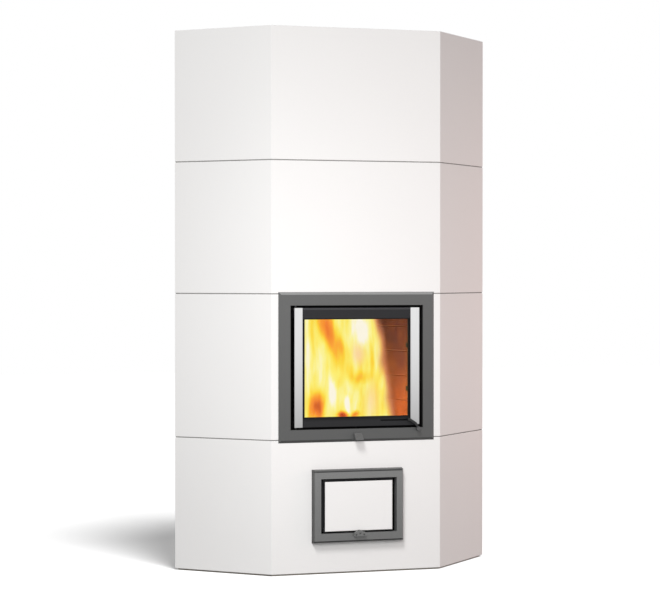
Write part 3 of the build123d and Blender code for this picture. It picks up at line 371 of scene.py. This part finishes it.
# the leaf: painted shade from the window's foot to just over its top, and a painted highlight along the
# leaf's upper edge
WINDOW_SHADE_SHARE = 0.15
LEAF_PAINTED_LIGHT = [
    ("Z", WINDOW_TOP + 0.0028, WINDOW_TOP + 0.0038, WINDOW_SHADE_SHARE, 1.0),
    ("Z", WINDOW_BOTTOM - 0.016, WINDOW_BOTTOM, 1 / WINDOW_SHADE_SHARE, 1.0),
    ("Z", LEAF_HIGH.z - 0.0072, LEAF_HIGH.z - 0.0060, 1.0, 2.1),
]
# the lever: a pale knob under a dark shank
LEVER_BANDS = [("Z", KNOB_TOP_Z - 0.001, KNOB_TOP_Z + 0.001, 1.7, 0.25)]

STEEL_GREY = (0.108, 0.109, 0.108)
# the frames' paint turns to painted shade, black, in their throats behind the front
FRAME_PAINT = {"rough": 0.42, "sparkle": 0.18, "painted_shade_behind": FRONT_Y - 0.001}
BLACK_PAINT = {"rough": 0.38, "sparkle": 0.25}
# the leaf with painted highlight and shade by how its faces look, and its bands of painted light
LEAF_PAINT = {"foot": 0.85, "painted_facing_light": True, "bands": LEAF_PAINTED_LIGHT, "gloss": 0.15}


def make_materials():
    """Every material, by its slot's name or by the name of an own finish."""
    return {
        "cast_white": white_casting(),
        # the ash frame with its painted light and shade
        "frame_light": painted("frame_light", (0.185, 0.187, 0.185), bands=ASH_PAINTED_LIGHT, **FRAME_PAINT),
        "mortar": mortar(),
        "refractory": coarse("refractory", (0.42, 0.37, 0.31), (0.60, 0.54, 0.46), 60.0, 0.003),
        "firebrick": firebrick(),
        "insulation": coarse("insulation", (0.66, 0.62, 0.54), (0.80, 0.77, 0.70), 90.0, 0.002),
        "frame_grey": painted("frame_grey", STEEL_GREY, **FRAME_PAINT),
        "lever_black": painted("lever_black", (0.045, 0.045, 0.046), bands=LEVER_BANDS, **BLACK_PAINT),
        # the door frame with painted highlight on faces that look up and painted shade on faces that look
        # down
        "frame_dark": painted("frame_dark", STEEL_GREY, foot=0.78, painted_facing_light=True, **FRAME_PAINT),
        # the leaf with painted shade round its window and a painted highlight on its upper edge
        "leaf_black": painted("leaf_black", (0.026, 0.026, 0.028), **BLACK_PAINT, **LEAF_PAINT),
        # the strips darkened towards the door's foot as painted shade
        "bright_strip": brushed("bright_strip", (0.82, 0.82, 0.82), 0.34, "Z", foot=0.52),
        "zinc_steel": brushed("zinc_steel", (0.60, 0.60, 0.61), 0.40, "Y"),
        "pane": pane(),
        "rope": rope(),
        "cast_iron": coarse("cast_iron", (0.035, 0.032, 0.030), (0.09, 0.08, 0.075), 240.0, 0.001),
        "sheet_steel": brushed("sheet_steel", (0.42, 0.42, 0.43), 0.45, "X"),
        # the tile's sides in painted shade, black, behind its front
        "tile_insert": white_casting("tile_insert", TILE_FRONT_Y + 0.002),
    }


# nodes whose finish differs from their slot's
OWN_FINISH = {
    "door_frame": "frame_dark",
    "ash_frame": "frame_light",
    "ash_latch": "frame_light",
    "core_ring_2": "firebrick",
    "glass_clips": "leaf_black",
    "clip_screws": "leaf_black",
    "air_lever": "lever_black",
}


def dress_nodes(materials):
    """Gives every CAD node its own finish, or else the material of its slot."""
    for part in frame["record"]["subparts"]:
        mesh = NODES[part["node"]].data
        mesh.materials.clear()
        mesh.materials.append(materials[OWN_FINISH.get(part["node"], part["material_slot"])])


# ------------------------------------------------------------------ fire: flames
FLAME_RAMP = [
    (0.00, (0.55, 0.07, 0.015)),
    (0.18, (0.90, 0.22, 0.03)),
    (0.36, (1.00, 0.38, 0.035)),
    (0.55, (1.00, 0.70, 0.05)),
    (0.72, (1.00, 0.86, 0.16)),
    (0.86, (1.00, 0.93, 0.36)),
    (1.00, (1.00, 0.95, 0.80)),
]
# soft ovals of cooler and hotter gas: x, z, half width, half length, lean in degrees, gain
COOL_AND_HOT = [
    (-0.020, 0.776, 0.046, 0.150, -21, -0.37),
    (-0.050, 0.845, 0.046, 0.090, -12, -0.30),
    (0.076, 0.815, 0.062, 0.100, 8, 0.36),
    (0.118, 0.705, 0.015, 0.090, -4, -0.26),
    (0.081, 0.648, 0.060, 0.034, 0, -0.23),
    (0.040, 0.655, 0.030, 0.080, -28, -0.22),
    (-0.022, 0.592, 0.020, 0.080, -8, 0.30),
    (0.035, 0.556, 0.018, 0.050, -15, 0.42),
    (-0.074, 0.548, 0.044, 0.095, 0, -0.62),
    (0.019, 0.520, 0.034, 0.022, 0, -0.85),
    (0.067, 0.521, 0.026, 0.020, 0, -0.50),
    (-0.110, 0.720, 0.018, 0.170, 0, 0.20),
]
PEACH_OVALS = [(0.068, 0.728, 0.036, 0.062, 0, 0.75), (0.122, 0.566, 0.042, 0.100, 0, 0.55)]
PEACH = (1.0, 0.66, 0.42)
HALO = (0.80, 0.29, 0.13)

FLAME_GRID = (48, 64)  # columns and rows of each sheet
FLAME_WAVE = 0.03  # how far a sheet bends forward and back
FLAME_RAGGED = 0.35  # how unevenly its rim fades
CURTAIN_Y = -0.22
CURTAIN_LEVELS = (0.492, 0.975)
CURTAIN_SOFT = (0.056, 0.06)  # how wide it fades at each side and at its top
# the curtain's two edges, as points of height and x
CURTAIN_LEFT = [(0.49, -0.190), (0.98, -0.175)]
CURTAIN_RIGHT = [
    (0.49, 0.222),
    (0.564, 0.215),
    (0.606, 0.209),
    (0.658, 0.199),
    (0.71, 0.188),
    (0.763, 0.179),
    (0.832, 0.169),
    (0.98, 0.122),
]
# tongues of flame behind the curtain: x, half width at the foot, height of the tip, y
TONGUES = [(-0.10, 0.075, 0.82, -0.115), (0.03, 0.085, 0.90, -0.095), (0.12, 0.060, 0.76, -0.135)]
TONGUE_FOOT = 0.50
TONGUE_SOFT = (0.030, 0.14)
TIP_LEFT, TIP_RIGHT = 0.2, 0.3  # how wide a tip is to each side, as shares of the half width


def flame_material(name, ovals, peaches, base, streak, glow):
    """Burning gas: streaked emission that turns red and clear towards the sheet's faded edge."""
    material, t = new_material(name)
    where = t.wavered((16.0, 16.0, 6.0), (0.022, 0.0, 0.03))
    streaks = t.add("Mapping", i0=where, Scale=(34.0, 20.0, 6.0)).outputs[0]
    field = t.remap(t.noise(streaks, 1.0, 3.0), 0.3, 0.7, base - streak, base + streak)
    for oval in ovals:
        field = t.math("ADD", field, t.patch(where, *oval))
    fade = t.add("Attribute", {"attribute_name": "fade"}).outputs["Fac"]
    colour = t.ramp(field, FLAME_RAMP)
    for oval in peaches:
        colour = t.mix(t.patch(where, *oval), colour, PEACH)
    rim = t.remap(fade, 0.25, 0.85, 1.0, 0.0, smooth=True)
    colour = t.mix(rim, colour, HALO)
    light = t.add("Emission", Color=colour, Strength=glow)
    clear = t.add("BsdfTransparent")
    alpha = t.remap(fade, 0.0, 0.6, 0.0, 1.0, smooth=True)
    t.finish(t.add("MixShader", i0=alpha, i1=clear.outputs[0], i2=light.outputs[0]).outputs[0])
    return material


def along(points, level):
    """The value at a level of a line through (level, value) points."""
    for (low, start), (high, end) in zip(points, points[1:]):
        if level <= high:
            return start + (end - start) * max(0.0, (level - low) / (high - low))
    return points[-1][1]


def grid_faces(columns, rows):
    """The four-sided faces of a grid of points that are listed row by row."""
    wide = columns + 1
    faces = []
    for row in range(rows):
        for column in range(columns):
            first = row * wide + column
            faces.append((first, first + 1, first + wide + 1, first + wide))
    return faces


def fire_piece(name, vertices, faces, material, fades=None):
    """A smooth mesh that stays with the stove."""
    mesh = bpy.data.meshes.new(name)
    mesh.from_pydata(vertices, [], faces)
    mesh.polygons.foreach_set("use_smooth", [True] * len(faces))
    if fades:
        mesh.attributes.new("fade", "FLOAT", "POINT").data.foreach_set("value", fades)
    mesh.materials.append(material)
    piece = bpy.data.objects.new(name, mesh)
    bpy.context.scene.collection.objects.link(piece)
    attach(piece, ROOT_BODY)
    return piece


def flame_sheet(name, material, left, right, levels, depth, soft, seed):
    """A wavy upright sheet between two edges, with a fade attribute that falls to 0 at its sides and top."""
    columns, rows = FLAME_GRID
    low, high = levels
    soft_side, soft_top = soft
    vertices = []
    fades = []
    for row in range(rows + 1):
        z = low + (high - low) * row / rows
        start, end = along(left, z), along(right, z)
        for column in range(columns + 1):
            x = start + (end - start) * column / columns
            wave = noise.noise(Vector((x * 9, z * 5, seed)))
            vertices.append((x, depth + FLAME_WAVE * wave, z))
            ragged = FLAME_RAGGED * noise.noise(Vector((x * 30, z * 12, seed + 7)))
            inside = min((x - start) / soft_side, (end - x) / soft_side, (high - z) / soft_top)
            fades.append(max(0.0, min(1.0, inside + ragged * min(1.0, inside))))
    sheet = fire_piece(name, vertices, grid_faces(columns, rows), material, fades)
    sheet.visible_shadow = False


def make_flames():
    """A wide curtain of flame, and tongues behind it."""
    curtain = flame_material("flame_curtain", COOL_AND_HOT, PEACH_OVALS, base=0.74, streak=0.17, glow=1.0)
    edges = (CURTAIN_LEFT, CURTAIN_RIGHT)
    flame_sheet("flame_curtain", curtain, *edges, CURTAIN_LEVELS, CURTAIN_Y, CURTAIN_SOFT, seed=3.0)
    tongue = flame_material("flame_tongue", [], [], base=0.62, streak=0.26, glow=0.9)
    for number, (x, half, top, y) in enumerate(TONGUES, start=1):
        left = [(TONGUE_FOOT, x - half), (top, x - half * TIP_LEFT)]
        right = [(TONGUE_FOOT, x + half), (top, x + half * TIP_RIGHT)]
        levels = (TONGUE_FOOT, top)
        flame_sheet(f"flame_tongue_{number}", tongue, left, right, levels, y, TONGUE_SOFT, seed=20.0 + number)


# ------------------------------------------------------------------ fire: logs
LOG_RINGS = 28
LOG_SIDES = 32
LOG_TUCK = 0.10  # how much thinner a log is at its very ends
LOG_SPLIT = 0.62  # how far its flat side lies from its middle, as a share of the radius
LOG_LUMPS = 0.10
# start, end, radius, seed, which also turns the flat side
LOGS = [
    ((-0.158, -0.150, 0.524), (0.150, -0.142, 0.526), 0.034, 1.9),
    ((-0.145, -0.068, 0.524), (0.156, -0.074, 0.526), 0.034, 0.8),
    ((-0.120, -0.080, 0.586), (0.128, -0.132, 0.589), 0.031, 2.6),
]


def charred():
    """Burnt wood: black, cracked across, with fire in some of the cracks."""
    material, t = new_material("charred_wood")
    where = t.wavered((30, 30, 30), (0.01, 0.01, 0.01))
    cracks = t.add("TexVoronoi", {"feature": "DISTANCE_TO_EDGE"}, Vector=where, Scale=85.0)
    gap = t.remap(cracks.outputs["Distance"], 0.0, 0.06, 1.0, 0.0, smooth=True)
    grain = t.noise(t.stretched((18.0, 240.0, 240.0)), 1.0, 4.0, 0.6)
    colour = t.mix(grain, (0.012, 0.011, 0.010), (0.075, 0.060, 0.050))
    patches = t.remap(t.noise(t.place(), 13.0, 2.0), 0.45, 0.62, 0.0, 1.0, smooth=True)
    heat = t.math("MULTIPLY", gap, patches)
    height = t.math("SUBTRACT", grain, t.math("MULTIPLY", gap, 1.4))
    shader = t.add("BsdfPrincipled", Base_Color=colour, Roughness=0.9, Normal=t.bump(height, 0.9, 0.004))
    shader.inputs["Emission Color"].default_value = (1.0, 0.19, 0.02, 1)
    t.set(shader.inputs["Emission Strength"], t.math("MULTIPLY", heat, 1.3))
    t.finish(shader.outputs[0])
    return material


def make_log(name, material, start, end, radius, seed):
    """A split log: a lumpy bar with one flat side and rough ends."""
    start, end = Vector(start), Vector(end)
    axis = (end - start).normalized()
    side = axis.cross(Vector((0, 0, 1))).normalized()
    up = side.cross(axis)
    vertices = []
    for ring in range(LOG_RINGS + 1):
        share = ring / LOG_RINGS
        middle = start.lerp(end, share)
        tuck = 1.0 - LOG_TUCK * (abs(2 * share - 1) ** 8)
        for step in range(LOG_SIDES):
            angle = 2 * math.pi * step / LOG_SIDES
            round_way = side * math.cos(angle) + up * math.sin(angle)
            split = min(1.0, LOG_SPLIT / max(0.2, math.cos(angle - seed)))
            lump = 1.0 + LOG_LUMPS * noise.noise(middle * 14 + round_way * 1.6 + Vector((seed, 0, 0)))
            vertices.append(middle + round_way * radius * tuck * split * lump)
    faces = []
    for ring in range(LOG_RINGS):
        for step in range(LOG_SIDES):
            first = ring * LOG_SIDES + step
            after = ring * LOG_SIDES + (step + 1) % LOG_SIDES
            faces.append((first, after, after + LOG_SIDES, first + LOG_SIDES))
    faces.append(tuple(reversed(range(LOG_SIDES))))
    faces.append(tuple(range(LOG_RINGS * LOG_SIDES, (LOG_RINGS + 1) * LOG_SIDES)))
    fire_piece(name, vertices, faces, material)


def make_logs():
    wood = charred()
    for number, (start, end, radius, seed) in enumerate(LOGS, start=1):
        make_log(f"burning_log_{number}", wood, start, end, radius, seed)


# ------------------------------------------------------------------ fire: embers and firelight
EMBER_GRID = (64, 44)  # columns and rows
EMBER_SIDE_INSET = 0.022
EMBER_FRONT_INSET = 0.018
EMBER_BACK_INSET = 0.012
EMBER_LIFT = 0.0005  # keeps the heap's rim off the floor
EMBER_HEIGHT = 0.012
COAL_HEIGHT = 0.010
CRUMB_HEIGHT = 0.006
FIRE_POWER = 1.3
FIRE_COLOUR = (1.0, 0.27, 0.035)
FIRE_SOFT = 0.08  # radius of the glowing ball
FIRE_PLACE = (0.03, -0.270, 0.52)


def embers():
    """Glowing coals under a skin of pale ash."""
    material, t = new_material("embers")
    where = t.wavered((24, 24, 24), (0.012, 0.012, 0.012))
    lumps = t.add("TexVoronoi", {"feature": "DISTANCE_TO_EDGE"}, Vector=where, Scale=60.0)
    gap = t.remap(lumps.outputs["Distance"], 0.0, 0.16, 1.0, 0.0, smooth=True)
    ash = t.noise(t.place(), 90.0, 4.0)
    colour = t.mix(ash, (0.05, 0.045, 0.04), (0.36, 0.34, 0.32))
    heat = t.math("MULTIPLY", gap, t.remap(t.noise(t.place(), 18.0, 2.0), 0.4, 0.6, 0.15, 1.0))
    shader = t.add("BsdfPrincipled", Base_Color=colour, Roughness=0.95)
    t.set(shader.inputs["Normal"], t.bump(t.math("SUBTRACT", ash, gap), 0.8, 0.006))
    shader.inputs["Emission Color"].default_value = (1.0, 0.22, 0.02, 1)
    t.set(shader.inputs["Emission Strength"], t.math("MULTIPLY", heat, 3.0))
    t.finish(shader.outputs[0])
    return material


def make_ember_bed():
    """A heap of coals and ash on the grate and the fire floor."""
    columns, rows = EMBER_GRID
    x_half = SIDE_WALL_X - EMBER_SIDE_INSET
    y_low = FIRE_FRONT_Y + EMBER_FRONT_INSET
    y_high = FIRE_BACK_Y - EMBER_BACK_INSET
    vertices = []
    for row in range(rows + 1):
        y = y_low + (y_high - y_low) * row / rows
        back = 1 - abs(2 * row / rows - 1) ** 3
        for column in range(columns + 1):
            x = -x_half + 2 * x_half * column / columns
            across = 1 - abs(2 * column / columns - 1) ** 3
            coals = COAL_HEIGHT * noise.noise(Vector((x * 40, y * 40, 0)))
            crumbs = CRUMB_HEIGHT * noise.noise(Vector((x * 95, y * 95, 5)))
            heap = across * back * (EMBER_HEIGHT + (coals + crumbs))
            vertices.append((x, y, FIRE_FLOOR_Z + EMBER_LIFT + heap))
    fire_piece("ember_bed", vertices, grid_faces(columns, rows), embers())


def make_fire():
    make_flames()
    make_logs()
    make_ember_bed()


def make_fire_lamp():
    """Firelight on the bricks at the low right of the firebox."""
    data = bpy.data.lights.new("firelight", "POINT")
    data.energy = FIRE_POWER
    data.color = FIRE_COLOUR
    data.shadow_soft_size = FIRE_SOFT
    lamp = bpy.data.objects.new("firelight", data)
    lamp.location = FIRE_PLACE
    lamp.visible_camera = False
    lamp.visible_transmission = False
    lamp.visible_glossy = False
    bpy.context.scene.collection.objects.link(lamp)


# ------------------------------------------------------------------ stage and light
FLOOR_HALF = 14.0
FLOOR_GLOW = 0.20  # what the floor shows of its own white, under its shadow
FLOOR_SHOWN = 0.80
FLOOR_BOUNCE = 0.30  # reflectance of the floor for light that goes on to the stove
WORLD_LIGHT = 0.20
FLOOR_SUN = 1.05
FLOOR_SUN_WAY = (0.05, -0.50, 0.86)  # towards the light
FLOOR_SUN_WIDE = 18.0
LIGHT_CENTRE = Vector((0, -0.35, 1.0))
# name, direction to the light, distance, size, strength on a face square to it, colour
LAMPS = [
    ("key", (-0.368, -0.566, 0.735), 11.0, 3.0, 0.63, (1.0, 1.0, 1.0)),
    ("front", (-0.290, -0.955, -0.094), 1.6, 0.8, 0.54, (1.0, 1.0, 1.0)),
    ("side", (0.966, -0.259, -0.08), 2.0, 1.0, 0.255, (1.0, 0.69, 0.64)),
    ("back", (0.10, 0.98, 0.12), 3.5, 1.6, 0.50, (1.0, 1.0, 1.0)),
]


def seen_directly(t):
    """1 for rays that show the backdrop as it is, 0 for light that spreads from it."""
    path = t.add("LightPath")
    seen = t.math("MAXIMUM", path.outputs["Is Camera Ray"], path.outputs["Is Glossy Ray"])
    return t.math("MAXIMUM", seen, path.outputs["Is Transmission Ray"])


def make_floor():
    mesh = bpy.data.meshes.new("floor")
    corners = [(-FLOOR_HALF, -FLOOR_HALF, 0), (FLOOR_HALF, -FLOOR_HALF, 0)]
    corners += [(FLOOR_HALF, FLOOR_HALF, 0), (-FLOOR_HALF, FLOOR_HALF, 0)]
    mesh.from_pydata(corners, [], [(0, 1, 2, 3)])
    floor = bpy.data.objects.new("floor", mesh)
    bpy.context.scene.collection.objects.link(floor)
    material, t = new_material("floor")
    bounce = t.add("BsdfDiffuse", Color=(FLOOR_BOUNCE,) * 3 + (1,))
    shown = t.add("BsdfDiffuse", Color=(FLOOR_SHOWN,) * 3 + (1,))
    glow = t.add("Emission", Color=(1, 1, 1, 1), Strength=FLOOR_GLOW)
    both = t.add("AddShader", i0=shown.outputs[0], i1=glow.outputs[0])
    choice = t.add("MixShader", i0=seen_directly(t), i1=bounce.outputs[0], i2=both.outputs[0])
    t.finish(choice.outputs[0])
    mesh.materials.append(material)
    return floor


def make_world():
    world = bpy.data.worlds.new("world")
    bpy.context.scene.world = world
    world.use_nodes = True
    t = Tree(world.node_tree)
    strength = t.remap(seen_directly(t), 0.0, 1.0, WORLD_LIGHT, 1.0)
    sky = t.add("Background", Color=(1, 1, 1, 1), Strength=strength)
    t.finish(sky.outputs[0], "World")


def make_lamp(name, direction, distance, size, strength, colour):
    """A square lamp for the stove, which lights a white face square to it to a strength."""
    data = bpy.data.lights.new(name, "AREA")
    data.shape = "SQUARE"
    data.size = size
    data.energy = strength * math.pi ** 2 * distance ** 2
    data.color = colour
    lamp = bpy.data.objects.new(name, data)
    way = Vector(direction).normalized()
    lamp.location = LIGHT_CENTRE + way * distance
    lamp.rotation_euler = way.to_track_quat("Z", "Y").to_euler()
    lamp.visible_glossy = False
    lamp.visible_camera = False
    bpy.context.scene.collection.objects.link(lamp)
    return lamp


def make_floor_sun():
    """Even light for the floor alone, so that it shows the stove's soft shadow on plain white."""
    data = bpy.data.lights.new("floor_sun", "SUN")
    data.energy = FLOOR_SUN * math.pi
    data.angle = math.radians(FLOOR_SUN_WIDE)
    sun = bpy.data.objects.new("floor_sun", data)
    sun.rotation_euler = Vector(FLOOR_SUN_WAY).to_track_quat("Z", "Y").to_euler()
    bpy.context.scene.collection.objects.link(sun)
    return sun


def make_lights(floor):
    """Lamps for the stove alone, and a sun for the floor alone."""
    lights = {"EXCLUDE": [make_lamp(*facts) for facts in LAMPS], "INCLUDE": [make_floor_sun()]}
    for state, lamps in lights.items():
        group = bpy.data.collections.new(f"floor_{state.lower()}d")
        group.objects.link(floor)
        group.collection_objects[0].light_linking.link_state = state
        for lamp in lamps:
            lamp.light_linking.receiver_collection = group


# ------------------------------------------------------------------ build
bpy.context.scene.view_settings.view_transform = "Standard"
make_camera()
dress_nodes(make_materials())
make_fire()
make_world()
make_lights(make_floor())
make_fire_lamp()
